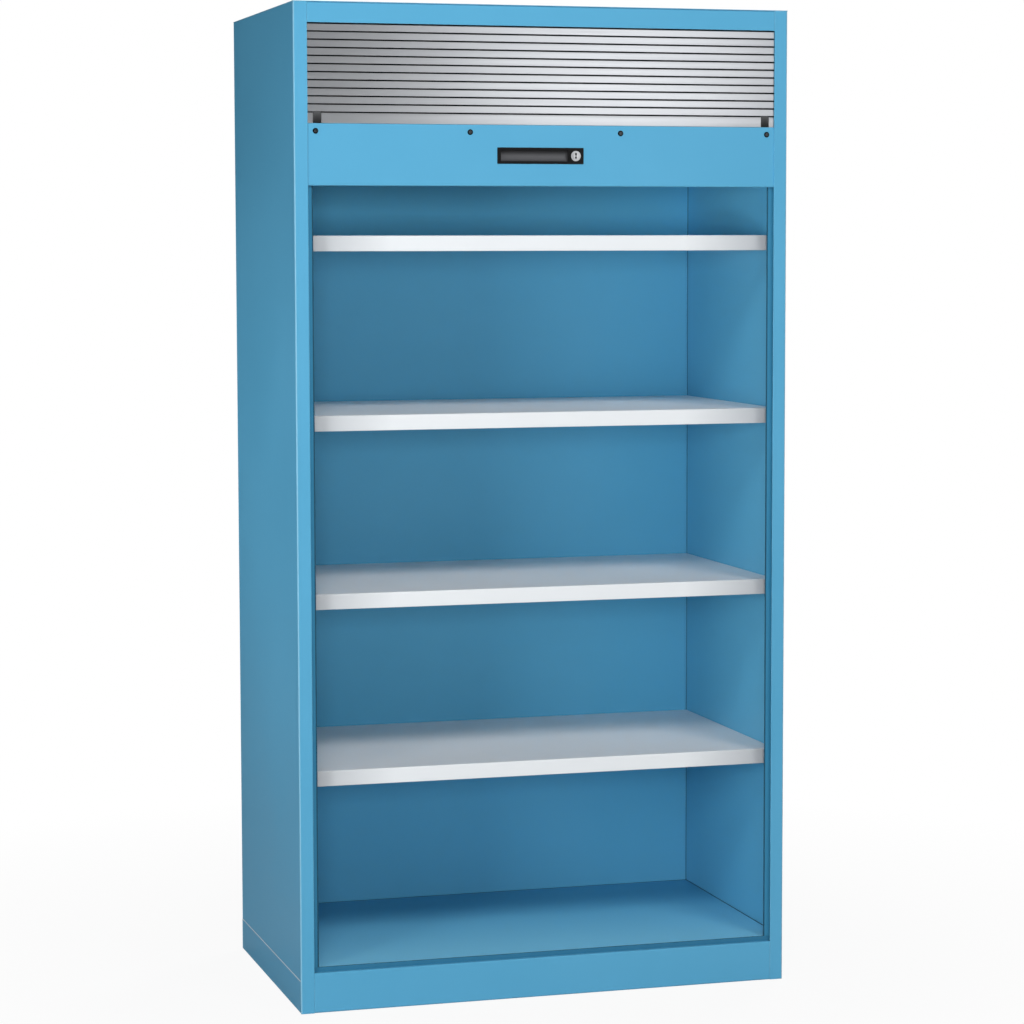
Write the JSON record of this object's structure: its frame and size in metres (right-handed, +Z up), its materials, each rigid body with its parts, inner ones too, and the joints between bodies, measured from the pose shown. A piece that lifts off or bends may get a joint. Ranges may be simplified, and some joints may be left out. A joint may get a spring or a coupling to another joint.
{
  "type": "roll front tool cabinet",
  "caption": "Tall steel tool cabinet with a slatted roll front that is drawn down over open shelves and locked at its end panel.",
  "frame": {"origin": "on the floor, in the middle of the footprint", "axes": "+X to the right seen from the front, +Y to the back, +Z up"},
  "size_m": [1, 0.58, 1.95],
  "materials": {
    "blue_coat": "satin powder coat",
    "shelf_coat": "light grey powder coat",
    "slat_aluminium": "anodised, drawn",
    "zinc_steel": "zinc plated",
    "black_plastic": "fine moulded texture",
    "buffer_rubber": "matt",
    "black_steel": "black oxide",
    "lock_chrome": "polished"
  },
  "bodies": {
    "cabinet": {"side_wall_left": "blue_coat", "side_wall_right": "blue_coat", "back_panel": "blue_coat", "roof_panel": "blue_coat", "top_rail": "blue_coat", "bottom_rail": "blue_coat", "plinth_left": "blue_coat", "plinth_right": "blue_coat", "plinth_back": "blue_coat", "floor_panel": "blue_coat", "floor_beams": "zinc_steel", "guide_left": "blue_coat", "guide_right": "blue_coat", "lock_keepers": "zinc_steel", "head_cover": "blue_coat", "shaft_bracket_left": "zinc_steel", "shaft_bracket_right": "zinc_steel", "shaft_axle": "zinc_steel", "torsion_spring": "zinc_steel", "curtain_straps": "zinc_steel", "curtain_leaf_5": "slat_aluminium", "shelf_1": "shelf_coat", "shelf_2": "shelf_coat", "shelf_3": "shelf_coat", "shelf_4": "shelf_coat", "shelf_clips": "zinc_steel"},
    "roll_front": {"end_panel": "blue_coat", "end_bar": "slat_aluminium", "curtain_front": "slat_aluminium", "stop_buffers": "buffer_rubber", "panel_screws": "black_steel", "handle_housing": "black_plastic", "lock_collar": "lock_chrome", "rod_staples": "zinc_steel"},
    "leaf_1": {"curtain_leaf_1": "slat_aluminium"},
    "leaf_2": {"curtain_leaf_2": "slat_aluminium"},
    "leaf_3": {"curtain_leaf_3": "slat_aluminium"},
    "leaf_4": {"curtain_leaf_4": "slat_aluminium"},
    "winding_shaft": {"winding_tube": "zinc_steel", "tube_plugs": "black_plastic", "winding_hubs": "black_plastic"},
    "lock_plug": {"lock_plug": "lock_chrome", "lock_cam": "zinc_steel"},
    "rod_left": {"lock_rod_left": "zinc_steel"},
    "rod_right": {"lock_rod_right": "zinc_steel"}
  },
  "joints": [
    {"name": "roll_front_travel", "type": "slide", "parent": "cabinet", "child": "roll_front", "axis": [0, 0, -1], "range_m": [0, 1.5217]},
    {"name": "leaf_1_travel", "type": "slide", "parent": "cabinet", "child": "leaf_1", "axis": [0, 0, -1], "range_m": [0, 1.21738]},
    {"name": "leaf_2_travel", "type": "slide", "parent": "cabinet", "child": "leaf_2", "axis": [0, 0, -1], "range_m": [0, 0.91304]},
    {"name": "leaf_3_travel", "type": "slide", "parent": "cabinet", "child": "leaf_3", "axis": [0, 0, -1], "range_m": [0, 0.6087]},
    {"name": "leaf_4_travel", "type": "slide", "parent": "cabinet", "child": "leaf_4", "axis": [0, 0, -1], "range_m": [0, 0.30436]},
    {"name": "shaft_turn", "type": "hinge", "parent": "cabinet", "child": "winding_shaft", "pos_m": [0, -0.199, 1.88], "axis": [1, 0, 0], "range_deg": [0, 1440]},
    {"name": "lock_turn", "type": "hinge", "parent": "roll_front", "child": "lock_plug", "pos_m": [0.0605, -0.2892, 1.66126], "axis": [0, 1, 0], "range_deg": [0, 90]},
    {"name": "rod_left_slide", "type": "slide", "parent": "roll_front", "child": "rod_left", "axis": [-1, 0, 0], "range_m": [0, 0.01555]},
    {"name": "rod_right_slide", "type": "slide", "parent": "roll_front", "child": "rod_right", "axis": [1, 0, 0], "range_m": [0, 0.01555]}
  ],
  "couplings": [
    {"joint": "leaf_1_travel", "follows": "roll_front_travel", "ratio": 0.8},
    {"joint": "leaf_2_travel", "follows": "roll_front_travel", "ratio": 0.6},
    {"joint": "leaf_3_travel", "follows": "roll_front_travel", "ratio": 0.4},
    {"joint": "leaf_4_travel", "follows": "roll_front_travel", "ratio": 0.2},
    {"joint": "shaft_turn", "follows": "roll_front_travel", "rad_per_m": 16.516},
    {"joint": "rod_right_slide", "follows": "rod_left_slide", "ratio": 1},
    {"joint": "lock_turn", "follows": "rod_left_slide", "rad_per_m": 101.01}
  ]
}
